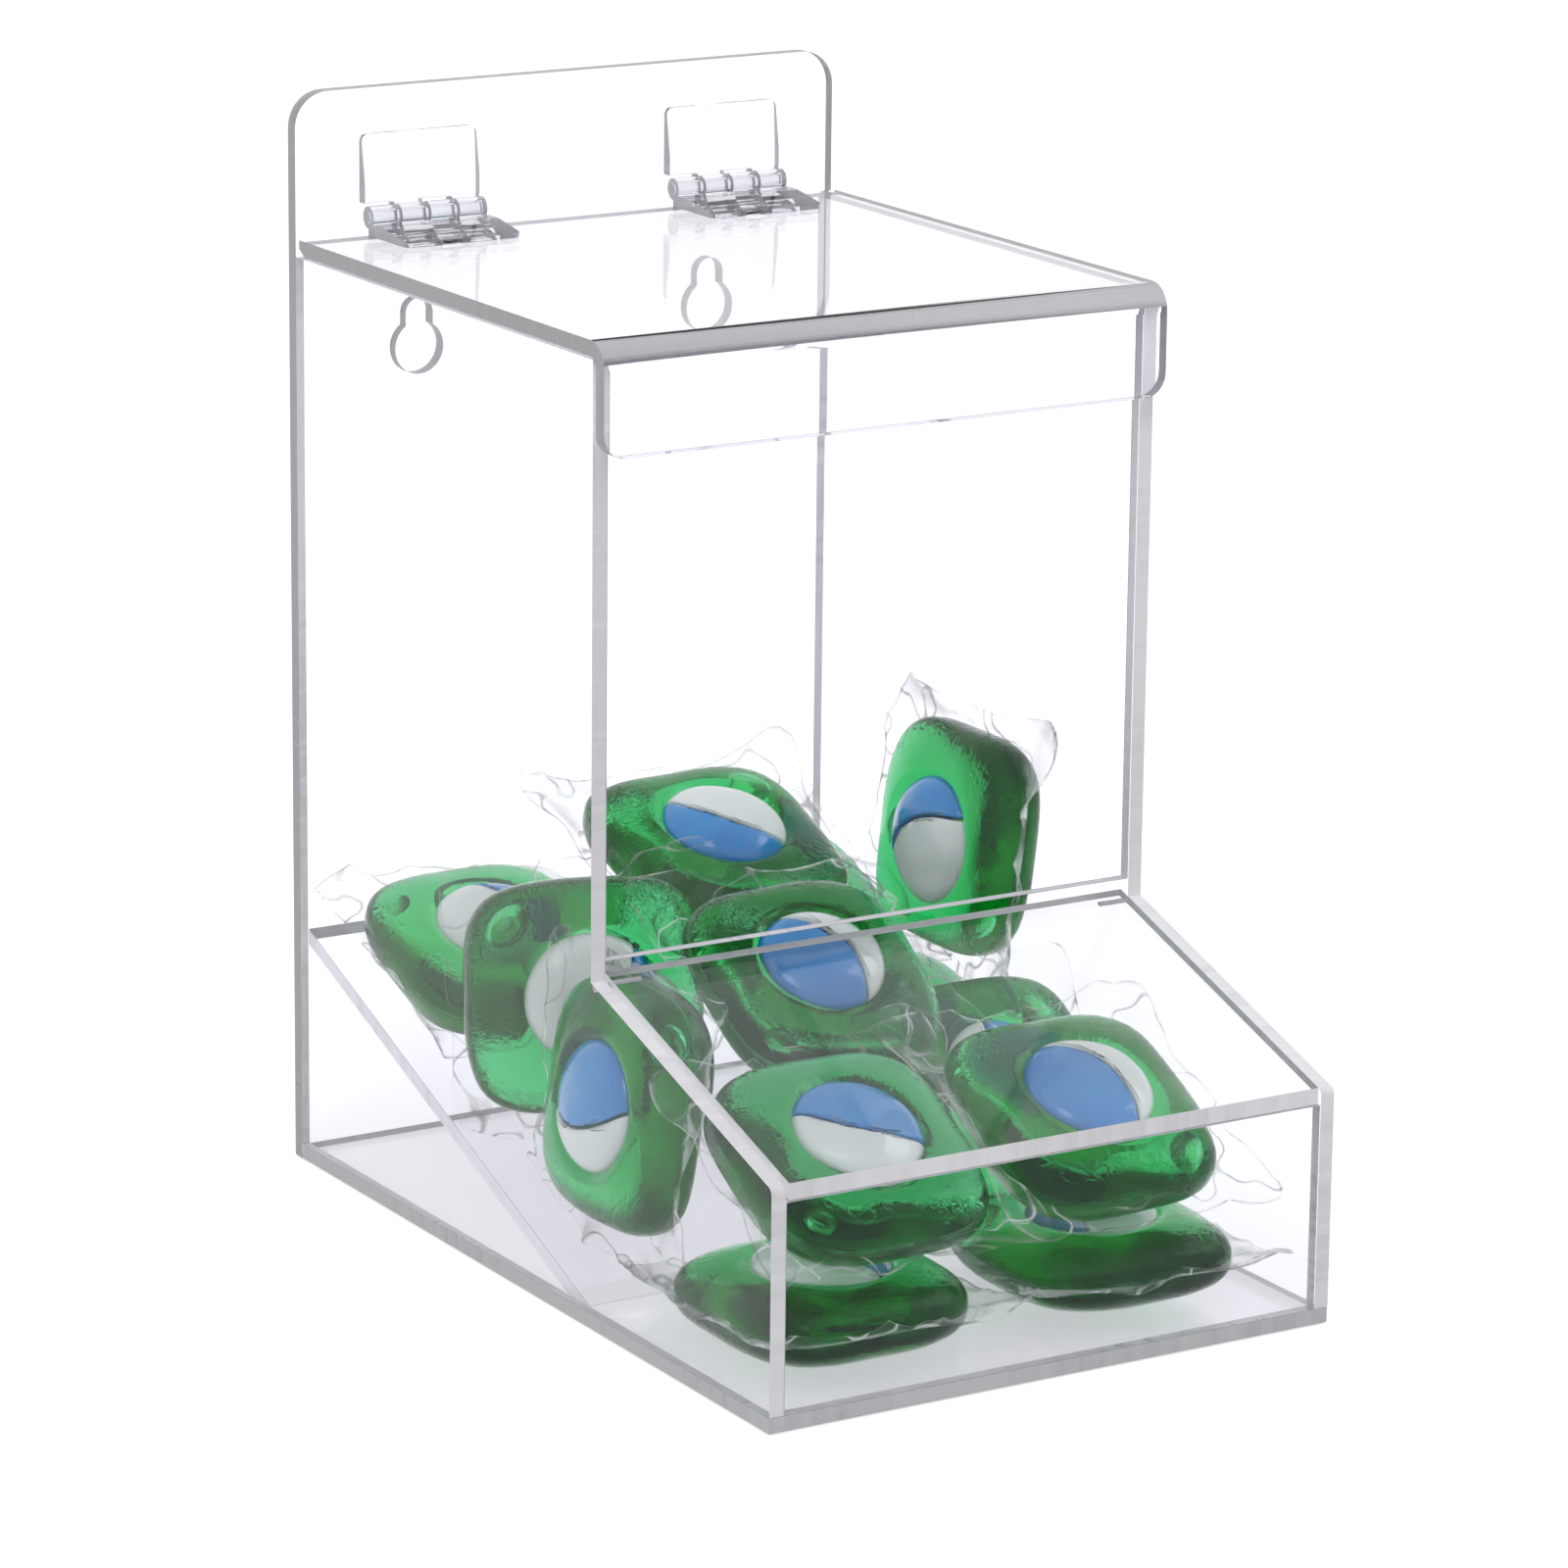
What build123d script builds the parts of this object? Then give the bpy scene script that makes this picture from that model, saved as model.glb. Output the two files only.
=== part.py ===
from build123d import *
import math
import os

os.makedirs("parts", exist_ok=True)

# Wall-hung dispenser box of clear glued sheet for single-dose laundry pods.
# X runs across the front, -Y is the front, Z is up.
# The origin lies on the ground under the middle of the box.

# Sheet and overall box
sheet = 3.0
box_width = 120.0
box_depth = 181.0
back_height = 212.0
back_corner_radius = 7.0
lid_top_height = 184.0
upper_depth = 117.5
front_window_bottom = 69.5
slope_top_height = 66.0
slope_low_height = 45.0
side_corner_radius = 1.5
overrun = 1.0

# Lid of bent sheet
lid_back_gap = 1.4
lid_seat_gap = 0.5
lip_gap = 1.0
lip_height = 21.0
lip_corner_radius = 4.5
bend_inner_radius = 2.0
lid_heel_chamfer_rise = 1.2

# Ramp that feeds the scoop
ramp_back_height = 47.0
ramp_reach = 114.5

# Hanging holes
keyhole_spacing = 64.0
keyhole_height = 160.5
keyhole_head_diameter = 10.4
keyhole_slot_width = 5.8
keyhole_rise = 6.8

# Lid hinges
hinge_spacing = 67.5
hinge_width = 25.0
hinge_reach = 15.7
hinge_axis_offset = 3.5
hinge_barrel_diameter = 4.4
hinge_pin_diameter = 2.0
hinge_running_gap = 0.05
hinge_knuckle_count = 4
hinge_knuckle_gap = 0.2
leaf_thickness = 2.4
leaf_tip_thickness = 0.9
leaf_flat_share = 0.4
leaf_corner_radius = 1.5
leaf_running_gap = 0.25

# Scoop flap and its pivot pins
flap_side_gap = 0.6
flap_proud = 0.7
flap_rest_gap = 0.3
flap_upper_reach = 116.0
pivot_inset = 2.7
pivot_pin_diameter = 1.2
pivot_hole_gap = 0.05
pivot_pin_in_flap = 6.4
pivot_pin_in_side = 2.2
pivot_pin_end_gap = 0.15

# Pods: gel cushion, film rim and the two-part eye on one face
pod_width = 46.0
pod_thickness = 17.0
pod_corner_radius = 15.0
pod_edge_radius = 8.0
film_overhang = 1.5
film_thickness = 0.8
eye_diameter = 28.0
eye_rise = 0.5
eye_divide = 0.6
eye_arc_radius = 16.0
eye_arc_offset = 11.0

# Places worked out from the sizes above
half_width = box_width / 2
back_y = box_depth / 2
front_y = -back_y
back_face_y = back_y - sheet
inner_half_width = half_width - sheet
window_front_y = back_y - upper_depth
lid_bottom_height = lid_top_height - sheet
wall_top_height = lid_bottom_height - lid_seat_gap
slope_run = window_front_y - front_y
slope_rise = slope_top_height - slope_low_height
slope_angle = math.degrees(math.atan2(slope_rise, slope_run))
slope_cosine = math.cos(math.radians(slope_angle))
slope_tangent = slope_rise / slope_run


def slope_height(y):
    """Height of the side walls' sloped edge at a place along Y."""
    return slope_low_height + (y - front_y) * slope_tangent


# Back panel: one tall sheet with rounded top corners and two keyholes
with BuildPart() as back_panel:
    with BuildSketch(Plane.XZ.offset(-back_y)) as back_outline:
        with Locations((0, back_height / 2)):
            Rectangle(box_width, back_height)
        top_corners = back_outline.vertices().group_by(Axis.Y)[-1]
        fillet(top_corners, back_corner_radius)
    extrude(amount=sheet)
    with BuildSketch(Plane.XZ.offset(-back_face_y)):
        with Locations(
            (-keyhole_spacing / 2, keyhole_height),
            (keyhole_spacing / 2, keyhole_height),
        ):
            Circle(keyhole_head_diameter / 2)
        with Locations(
            (-keyhole_spacing / 2, keyhole_height + keyhole_rise / 2),
            (keyhole_spacing / 2, keyhole_height + keyhole_rise / 2),
        ):
            SlotCenterToCenter(keyhole_rise, keyhole_slot_width, rotation=90)
    extrude(amount=-sheet - overrun, mode=Mode.SUBTRACT)
back_panel.part.label = "back_panel"
export_step(back_panel.part, "parts/back_panel.step")

# Base panel: the walls stand on it, in front of the back panel
base_length = back_face_y - front_y
with BuildPart() as base_panel:
    with BuildSketch():
        with Locations((0, front_y + base_length / 2)):
            Rectangle(box_width, base_length)
    extrude(amount=sheet)
base_panel.part.label = "base_panel"
export_step(base_panel.part, "parts/base_panel.step")

# Pivot axis of the scoop flap
flap_lift = flap_proud / slope_cosine
flap_drop = sheet / slope_cosine
flap_end_y = back_y - flap_upper_reach
pivot_surface_y = flap_end_y - pivot_inset * slope_cosine
pivot_y = pivot_surface_y + sheet / 2 * math.sin(math.radians(slope_angle))
pivot_z = slope_height(pivot_surface_y) + flap_lift - sheet / 2 * slope_cosine

# Side panels: upper box and scoop cheek cut from one sheet, one each side
for side, side_name in ((-1, "left_side_panel"), (1, "right_side_panel")):
    outer_x = side * half_width
    with BuildPart() as side_panel:
        with BuildSketch(Plane.YZ.offset(outer_x)) as side_outline:
            with BuildLine():
                Polyline(
                    (back_face_y, sheet),
                    (front_y, sheet),
                    (front_y, slope_low_height),
                    (window_front_y, slope_top_height),
                    (window_front_y, wall_top_height),
                    (back_face_y, wall_top_height),
                    close=True,
                )
            make_face()
            scoop_corner = side_outline.vertices().sort_by_distance((front_y, slope_low_height))[0]
            fillet(scoop_corner, side_corner_radius)
        extrude(amount=-side * sheet)
        with BuildSketch(Plane.YZ.offset(outer_x - side * sheet)):
            with Locations((pivot_y, pivot_z)):
                Circle(pivot_pin_diameter / 2 + pivot_hole_gap)
        extrude(amount=side * (pivot_pin_in_side + pivot_pin_end_gap), mode=Mode.SUBTRACT)
    side_panel.part.label = side_name
    export_step(side_panel.part, f"parts/{side_name}.step")

# Front window panel: set between the sides, it stops above the scoop
with BuildPart() as front_panel:
    with BuildSketch(Plane.XZ.offset(-window_front_y)):
        with Locations((0, (front_window_bottom + wall_top_height) / 2)):
            Rectangle(2 * inner_half_width, wall_top_height - front_window_bottom)
    extrude(amount=-sheet)
front_panel.part.label = "front_panel"
export_step(front_panel.part, "parts/front_panel.step")

# Scoop front: low panel between the sides with a top edge cut to the slope
flap_under_front = slope_height(front_y) + flap_lift - flap_drop
scoop_front_top = flap_under_front - flap_rest_gap
with BuildPart() as scoop_front_panel:
    with BuildSketch(Plane.YZ.offset(-inner_half_width)):
        with BuildLine():
            Polyline(
                (front_y, sheet),
                (front_y + sheet, sheet),
                (front_y + sheet, scoop_front_top + sheet * slope_tangent),
                (front_y, scoop_front_top),
                close=True,
            )
        make_face()
    extrude(amount=2 * inner_half_width)
scoop_front_panel.part.label = "scoop_front_panel"
export_step(scoop_front_panel.part, "parts/scoop_front_panel.step")

# Ramp panel: slopes from the back panel down to the base
ramp_front_y = back_y - ramp_reach
ramp_run = back_face_y - ramp_front_y
ramp_tangent = (ramp_back_height - sheet) / ramp_run
ramp_drop = sheet * math.sqrt(1 + ramp_tangent**2)
with BuildPart() as ramp_panel:
    with BuildSketch(Plane.YZ.offset(-inner_half_width)):
        with BuildLine():
            Polyline(
                (back_face_y, ramp_back_height),
                (back_face_y, ramp_back_height - ramp_drop),
                (ramp_front_y + ramp_drop / ramp_tangent, sheet),
                (ramp_front_y, sheet),
                close=True,
            )
        make_face()
    extrude(amount=2 * inner_half_width)
ramp_panel.part.label = "ramp_panel"
export_step(ramp_panel.part, "parts/ramp_panel.step")

# Lid: a sheet with its front edge bent down over the window panel
lid_back_y = back_face_y - lid_back_gap
lip_inner_y = window_front_y - lip_gap
lip_outer_y = lip_inner_y - sheet
lip_bottom = lid_top_height - lip_height
bend_outer_radius = bend_inner_radius + sheet
hinge_axis_y = back_face_y - hinge_axis_offset
hinge_axis_z = lid_top_height + hinge_axis_offset
heel_reach = lid_back_y - hinge_axis_y
with BuildPart() as lid:
    with BuildSketch(Plane.YZ.offset(-half_width)) as lid_section:
        with BuildLine():
            Polyline(
                (lid_back_y, lid_top_height),
                (lip_outer_y, lid_top_height),
                (lip_outer_y, lip_bottom),
                (lip_inner_y, lip_bottom),
                (lip_inner_y, lid_bottom_height),
                (lid_back_y - heel_reach, lid_bottom_height),
                (lid_back_y, lid_bottom_height + lid_heel_chamfer_rise),
                close=True,
            )
        make_face()
        outer_bend = lid_section.vertices().sort_by_distance((lip_outer_y, lid_top_height))[0]
        fillet(outer_bend, bend_outer_radius)
        inner_bend = lid_section.vertices().sort_by_distance((lip_inner_y, lid_bottom_height))[0]
        fillet(inner_bend, bend_inner_radius)
    extrude(amount=box_width)
    lip_edges = lid.edges().filter_by(Axis.Y).group_by(Axis.Z)[0]
    fillet(lip_edges, lip_corner_radius)
lid.part.label = "lid"
export_step(lid.part, "parts/lid.step")

# Lid hinges: a wall leaf, a lid leaf and a pin on each side
barrel_radius = hinge_barrel_diameter / 2
bore_radius = hinge_pin_diameter / 2 + hinge_running_gap
knuckle_pitch = hinge_width / hinge_knuckle_count
knuckle_length = knuckle_pitch - hinge_knuckle_gap
leaf_start = barrel_radius + leaf_running_gap
leaf_flat_end = leaf_flat_share * hinge_reach
leaf_face = hinge_axis_offset - leaf_thickness
leaf_tip_face = hinge_axis_offset - leaf_tip_thickness


def make_leaf(name, section_plane, knuckle_starts):
    """One hinge leaf, drawn on a plane through the end of its barrel.

    The plane's x runs out along the leaf and its y points at the face that
    the leaf is glued to.
    """
    with BuildPart() as leaf:
        with BuildSketch(section_plane):
            with BuildLine():
                Polyline(
                    (leaf_start, hinge_axis_offset),
                    (hinge_reach, hinge_axis_offset),
                    (hinge_reach, leaf_tip_face),
                    (leaf_flat_end, leaf_face),
                    (leaf_start, leaf_face),
                    close=True,
                )
            make_face()
        extrude(amount=hinge_width)
        thickness_direction = Axis(section_plane.origin, section_plane.y_dir)
        reach_direction = Axis(section_plane.origin, section_plane.x_dir)
        tip_corners = leaf.edges().filter_by(thickness_direction).group_by(reach_direction)[-1]
        fillet(tip_corners, leaf_corner_radius)
        for start in knuckle_starts:
            with BuildSketch(section_plane.offset(start)):
                Circle(barrel_radius)
                with BuildLine():
                    Polyline(
                        (0, hinge_axis_offset),
                        (leaf_start, hinge_axis_offset),
                        (leaf_start, leaf_face),
                        (0, leaf_face),
                        close=True,
                    )
                make_face()
            extrude(amount=knuckle_length)
        with BuildSketch(section_plane):
            Circle(bore_radius)
        extrude(amount=hinge_width, mode=Mode.SUBTRACT)
    leaf.part.label = name
    export_step(leaf.part, f"parts/{name}.step")


for side, side_name in ((-1, "left"), (1, "right")):
    hinge_start = side * hinge_spacing / 2 - hinge_width / 2
    hinge_end = hinge_start + hinge_width
    knuckle_starts = [index * knuckle_pitch + hinge_knuckle_gap / 2 for index in range(hinge_knuckle_count)]
    wall_plane = Plane((hinge_end, hinge_axis_y, hinge_axis_z), x_dir=(0, 0, 1), z_dir=(-1, 0, 0))
    lid_plane = Plane((hinge_start, hinge_axis_y, hinge_axis_z), x_dir=(0, -1, 0), z_dir=(1, 0, 0))
    make_leaf(f"{side_name}_hinge_wall_leaf", wall_plane, knuckle_starts[0::2])
    make_leaf(f"{side_name}_hinge_lid_leaf", lid_plane, knuckle_starts[0::2])
    with BuildPart() as hinge_pin:
        with BuildSketch(lid_plane):
            Circle(hinge_pin_diameter / 2)
        extrude(amount=hinge_width)
    pin_name = f"{side_name}_hinge_pin"
    hinge_pin.part.label = pin_name
    export_step(hinge_pin.part, f"parts/{pin_name}.step")

# Scoop flap: a plate that lies on the slope between the side panels
flap_half_width = inner_half_width - flap_side_gap
flap_top_z = slope_height(flap_end_y) + flap_lift
slope_sine = math.sin(math.radians(slope_angle))
with BuildPart() as scoop_flap:
    with BuildSketch(Plane.YZ.offset(-flap_half_width)):
        with BuildLine():
            Polyline(
                (flap_end_y, flap_top_z),
                (front_y, slope_low_height + flap_lift),
                (front_y, flap_under_front),
                (flap_end_y + sheet * slope_sine, flap_top_z - sheet * slope_cosine),
                close=True,
            )
        make_face()
    extrude(amount=2 * flap_half_width)
    for side in (-1, 1):
        with BuildSketch(Plane.YZ.offset(side * (flap_half_width + overrun))):
            with Locations((pivot_y, pivot_z)):
                Circle(pivot_pin_diameter / 2)
        extrude(amount=-side * (pivot_pin_in_flap + overrun), mode=Mode.SUBTRACT)
scoop_flap.part.label = "scoop_flap"
export_step(scoop_flap.part, "parts/scoop_flap.step")

# Pivot pins: pressed into the flap, they turn in the side panels
for side, pin_name in ((-1, "flap_pin_left"), (1, "flap_pin_right")):
    with BuildPart() as flap_pin:
        with BuildSketch(Plane.YZ.offset(side * (inner_half_width + pivot_pin_in_side))):
            with Locations((pivot_y, pivot_z)):
                Circle(pivot_pin_diameter / 2)
        extrude(amount=-side * (pivot_pin_in_side + flap_side_gap + pivot_pin_in_flap))
    flap_pin.part.label = pin_name
    export_step(flap_pin.part, f"parts/{pin_name}.step")

# Pods: each place is a share of the inner half width and half depth, and a
# share of the pod's width above the base or ramp under it; then come the turn
# about Z, the tilt towards the front and the turn of the eye in its own face
inner_half_depth = back_face_y
pod_place_shares = {
    "pod_front_left_low": (-0.56, -0.715, 0.196, 0, 0, 25),
    "pod_front_right_low": (0.456, -0.71, 0.196, 0, 0, -35),
    "pod_front_left": (-0.474, -0.715, 0.74, 0, 28, 60),
    "pod_front_right": (0.404, -0.71, 0.74, 0, 27, -160),
    "pod_left_wall": (-0.763, -0.149, 0.635, -90, 82, 100),
    "pod_ramp_left": (-0.544, 0.686, 0.213, 0, 22, 190),
    "pod_ramp_right": (0.544, 0.686, 0.213, 0, 22, 20),
    "pod_ramp_low_right": (0.544, 0.172, 0.242, 0, 22, 80),
    "pod_leaning_right": (0.544, -0.229, 0.508, 0, 52, 0),
    "pod_leaning_left": (-0.561, 0.274, 0.533, -15, 80, 140),
    "pod_middle": (-0.105, -0.171, 1.046, 0, 36, 200),
    "pod_right_wall": (0.807, 0.183, 1.08, -90, 82, -60),
    "pod_top": (0.165, 0.517, 0.735, 0, 22, 45),
}


def floor_height(y):
    """Top of the base or of the ramp at a place along Y."""
    return sheet + max(0, (y - ramp_front_y) * ramp_tangent)


def make_pod(name, shares):
    """One pod: a filleted cushion inside a film rim, with its raised eye."""
    across_share, along_share, lift_share, turn, tilt, eye_turn = shares
    along = along_share * inner_half_depth
    place = (
        across_share * inner_half_width,
        along,
        floor_height(along) + lift_share * pod_width,
    )
    middle = Plane(Location(place, (tilt, 0, turn), Extrinsic.XYZ))
    film_width = pod_width + 2 * film_overhang
    arc_middle = Vector(eye_arc_offset, 0).rotate(Axis.Z, eye_turn)
    with BuildPart() as pod:
        with BuildSketch(middle):
            RectangleRounded(pod_width, pod_width, pod_corner_radius)
        extrude(amount=pod_thickness / 2, both=True)
        faces_along = pod.faces().sort_by(Axis(middle.origin, middle.z_dir))
        fillet(faces_along[0].edges() + faces_along[-1].edges(), pod_edge_radius)
        with BuildSketch(middle):
            RectangleRounded(film_width, film_width, pod_corner_radius + film_overhang)
        extrude(amount=film_thickness / 2, both=True)
        with BuildSketch(middle.offset(pod_thickness / 2)):
            Circle(eye_diameter / 2)
            with Locations(arc_middle):
                Circle(eye_arc_radius + eye_divide, mode=Mode.SUBTRACT)
        extrude(amount=eye_rise)
        with BuildSketch(middle.offset(pod_thickness / 2)):
            Circle(eye_diameter / 2)
            with Locations(arc_middle):
                Circle(eye_arc_radius, mode=Mode.INTERSECT)
        extrude(amount=eye_rise)
    pod.part.label = name
    export_step(pod.part, f"parts/{name}.step")


for pod_name, place_shares in pod_place_shares.items():
    make_pod(pod_name, place_shares)
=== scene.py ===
import math

import bmesh
import bpy
from mathutils import Euler, Matrix, Vector, noise


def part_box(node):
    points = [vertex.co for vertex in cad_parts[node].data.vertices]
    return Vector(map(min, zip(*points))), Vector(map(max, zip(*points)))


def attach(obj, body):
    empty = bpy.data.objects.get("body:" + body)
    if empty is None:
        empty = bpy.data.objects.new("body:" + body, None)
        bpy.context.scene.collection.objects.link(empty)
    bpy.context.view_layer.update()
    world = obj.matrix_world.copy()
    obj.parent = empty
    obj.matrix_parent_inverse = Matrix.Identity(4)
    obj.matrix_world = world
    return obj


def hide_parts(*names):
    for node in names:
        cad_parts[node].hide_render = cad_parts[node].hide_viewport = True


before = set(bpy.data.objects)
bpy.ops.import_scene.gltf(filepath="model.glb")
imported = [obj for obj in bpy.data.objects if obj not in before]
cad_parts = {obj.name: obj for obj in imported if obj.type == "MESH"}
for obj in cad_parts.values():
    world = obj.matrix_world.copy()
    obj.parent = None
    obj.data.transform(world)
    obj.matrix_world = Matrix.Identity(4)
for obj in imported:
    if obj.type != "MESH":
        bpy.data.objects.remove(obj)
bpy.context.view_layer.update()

bl_info = {
    "name": "Laundry pod dispenser box",
    "version": (1, 0, 0),
    "blender": (4, 5, 0),
    "location": "View3D > Sidebar > Dispenser",
    "description": "Clear wall box with a hinged lid, a scoop flap and gel laundry pods",
    "category": "Object",
}

MM = 0.001

# Panels of clear sheet, each with the directions its broad faces look in
SLOPE_TILT = math.radians(18.3)
RAMP_TILT = math.radians(21.5)
PANEL_FACES = {
    "back_panel": [(0, 1, 0)],
    "base_panel": [(0, 0, 1)],
    "left_side_panel": [(1, 0, 0)],
    "right_side_panel": [(1, 0, 0)],
    "front_panel": [(0, 1, 0)],
    "scoop_front_panel": [(0, 1, 0)],
    "ramp_panel": [(0, -math.sin(RAMP_TILT), math.cos(RAMP_TILT))],
    "lid": [(0, 0, 1), (0, 1, 0)],
    "scoop_flap": [(0, -math.sin(SLOPE_TILT), math.cos(SLOPE_TILT))],
}
GLUED_FACES = {"ramp_panel": [(0, 0, 1)]}

# Painted shade: how far the sawn edges of these panels are darkened, to look more shaded than the rest
PAINTED_EDGE_SHADE = {"lid": 0.52, "back_panel": 0.50, "base_panel": 0.72}
HINGE_LEAVES = [
    "left_hinge_wall_leaf",
    "left_hinge_lid_leaf",
    "right_hinge_wall_leaf",
    "right_hinge_lid_leaf",
]
HINGE_PINS = ["left_hinge_pin", "right_hinge_pin"]
PIVOT_PINS = ["flap_pin_left", "flap_pin_right"]

# The gel's colour in depth, and how fast it deepens with each metre
GEL_DEPTH_COLOUR = (0.02, 0.80, 0.46, 1.0)
GEL_DENSITY = 175.0

# The room: where its dimmer side lies, its light on the object and the floor's white
CAMERA_SIDE = (-0.45, -0.86, -0.55)
ROOM_LIGHT = 0.68
FLOOR_GLOW = 0.62

# Camera lens and frame shift that go with the angles in the stage's settings
LENS = 152.35
SHIFT_X = 0.0643
SHIFT_Y = -0.0537

# Each pod's turn about Z, tilt towards the front, turn of the eye in its own
# face, all in degrees, and whether the blue cell is the crescent
POD_ANGLES = {
    "pod_front_left_low": (0, 0, 25, False),
    "pod_front_right_low": (0, 0, -35, True),
    "pod_front_left": (0, 28, 60, False),
    "pod_front_right": (0, 27, -160, False),
    "pod_left_wall": (-90, 82, 100, False),
    "pod_ramp_left": (0, 22, 190, True),
    "pod_ramp_right": (0, 22, 20, False),
    "pod_ramp_low_right": (0, 22, 80, True),
    "pod_leaning_right": (0, 52, 0, False),
    "pod_leaning_left": (-15, 80, 140, True),
    "pod_middle": (0, 36, 200, False),
    "pod_right_wall": (-90, 82, -60, True),
    "pod_top": (0, 22, 45, True),
}


class Wire:
    """A shader socket that Python arithmetic can be used on."""

    def __init__(self, finish, socket):
        self.finish = finish
        self.socket = socket

    def math(self, operation, *values):
        settings = {"operation": operation}
        return self.finish.node("ShaderNodeMath", settings, dict(enumerate(values)))

    def __add__(self, other):
        return self.math("ADD", self, other)

    def __sub__(self, other):
        return self.math("SUBTRACT", self, other)

    def __rsub__(self, other):
        return self.math("SUBTRACT", other, self)

    def __mul__(self, other):
        return self.math("MULTIPLY", self, other)

    def __abs__(self):
        return self.math("ABSOLUTE", self)

    __radd__ = __add__
    __rmul__ = __mul__


class Finish:
    """A node tree, of a new material or of the world: its nodes come from one method."""

    def __init__(self, name, tree=None):
        if tree is None:
            self.material = bpy.data.materials.new(name)
            self.material.use_nodes = True
            tree = self.material.node_tree
        self.tree = tree
        self.tree.nodes.clear()

    def node(self, kind, settings=None, inputs=None, output=0):
        made = self.tree.nodes.new(kind)
        for name, value in (settings or {}).items():
            if name == "stops":
                while len(made.color_ramp.elements) < len(value):
                    made.color_ramp.elements.new(1.0)
                for element, (place, colour) in zip(made.color_ramp.elements, value):
                    element.position = place
                    element.color = colour
            else:
                setattr(made, name, value)
        for name, value in (inputs or {}).items():
            if isinstance(value, Wire):
                self.tree.links.new(value.socket, made.inputs[name])
            else:
                made.inputs[name].default_value = value
        return Wire(self, made.outputs[output])

    def place(self, stretch=(1.0, 1.0, 1.0)):
        """Object coordinates, stretched by a factor along each axis."""
        coordinates = self.node("ShaderNodeTexCoord", output="Object")
        return self.node("ShaderNodeMapping", inputs={"Vector": coordinates, "Scale": stretch})

    def speckle(self, place, scale, detail=3.0, roughness=0.55):
        inputs = {"Vector": place, "Scale": scale, "Detail": detail, "Roughness": roughness}
        return self.node("ShaderNodeTexNoise", inputs=inputs)

    def ramp(self, factor, *stops):
        """A number that follows stops of (place, level) as the factor rises."""
        colours = [(place, (level, level, level, 1.0)) for place, level in stops]
        return self.node("ShaderNodeValToRGB", {"stops": colours}, {"Fac": factor})

    def mix(self, factor, first, second):
        """A colour that goes from the first to the second with the factor."""
        inputs = {0: factor, 6: colour_of(first), 7: colour_of(second)}
        return self.node("ShaderNodeMix", {"data_type": "RGBA"}, inputs, output=2)

    def bump(self, height, distance, strength=1.0):
        inputs = {"Height": height, "Distance": distance, "Strength": strength}
        return self.node("ShaderNodeBump", inputs=inputs)

    def background_rays(self):
        """1 for the rays that show the background: straight, mirrored or through glass."""
        seen = 0.0
        for kind in ("Is Camera Ray", "Is Glossy Ray", "Is Transmission Ray"):
            ray = self.node("ShaderNodeLightPath", output=kind)
            seen = self.node("ShaderNodeMath", {"operation": "MAXIMUM"}, {0: ray, 1: seen})
        return seen

    def surface(self, inputs, volume=None):
        shader = self.node("ShaderNodeBsdfPrincipled", inputs=inputs)
        ends = {"Surface": shader}
        if volume is not None:
            ends["Volume"] = volume
        self.node_output(ends)
        return self.material

    def node_output(self, ends):
        output = self.tree.nodes.new("ShaderNodeOutputMaterial")
        for name, wire in ends.items():
            self.tree.links.new(wire.socket, output.inputs[name])


def colour_of(value):
    """A socket as it is, or a three part colour with an opaque fourth part."""
    if isinstance(value, Wire):
        return value
    return (*value[:3], 1.0)


def colour_setting(name, description, default):
    return bpy.props.FloatVectorProperty(
        name=name, description=description, default=default, subtype="COLOR", min=0, max=1
    )


def length_setting(name, description, default):
    return bpy.props.FloatProperty(
        name=name, description=description, default=default, unit="LENGTH", subtype="DISTANCE"
    )


def angle_setting(name, description, default):
    return bpy.props.FloatProperty(
        name=name, description=description, default=default, unit="ROTATION", subtype="ANGLE"
    )


def factor_setting(name, description, default):
    return bpy.props.FloatProperty(
        name=name, description=description, default=default, subtype="FACTOR", min=0, max=1
    )


def index_setting(name, description, default):
    return bpy.props.FloatProperty(name=name, description=description, default=default, min=1, max=2)


class SheetSettings(bpy.types.PropertyGroup):
    """Colours and finish of the clear sheet, its edges and the small plastic parts"""

    face_colour: colour_setting("Face colour", "Tint of the sheet's polished faces", (0.962, 0.962, 0.988))
    edge_colour: colour_setting("Edge colour", "Tint of the sawn edges", (0.80, 0.79, 0.83))
    edge_light: colour_setting("Edge light", "Palest tint of the sawn edges", (0.91, 0.91, 0.94))
    # painted shade: the grey of the corner lines, the lid's bend and the hinges' end faces
    shade_line_colour: colour_setting("Line colour", "Tint of the corner lines and the lid's bend", (0.56, 0.55, 0.60))
    edge_roughness: factor_setting("Edge roughness", "Roughness of the sawn edges", 0.25)
    wall_index: index_setting("Wall index", "Refractive index of the walls; a low one mirrors less", 1.2)
    flap_index: index_setting("Flap index", "Refractive index of the flap; a low one mirrors less", 1.34)
    hinge_colour: colour_setting("Hinge colour", "Tint of the moulded hinges", (0.94, 0.94, 0.965))
    pin_colour: colour_setting("Pin colour", "Colour of the flap's metal pins", (0.62, 0.62, 0.64))
    glue_gap: length_setting("Glue gap", "Room left at a face that is glued to another", 0.03 * MM)
    edge_break: length_setting("Edge break", "Width of the scraped sheet edges", 0.2 * MM)


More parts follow.
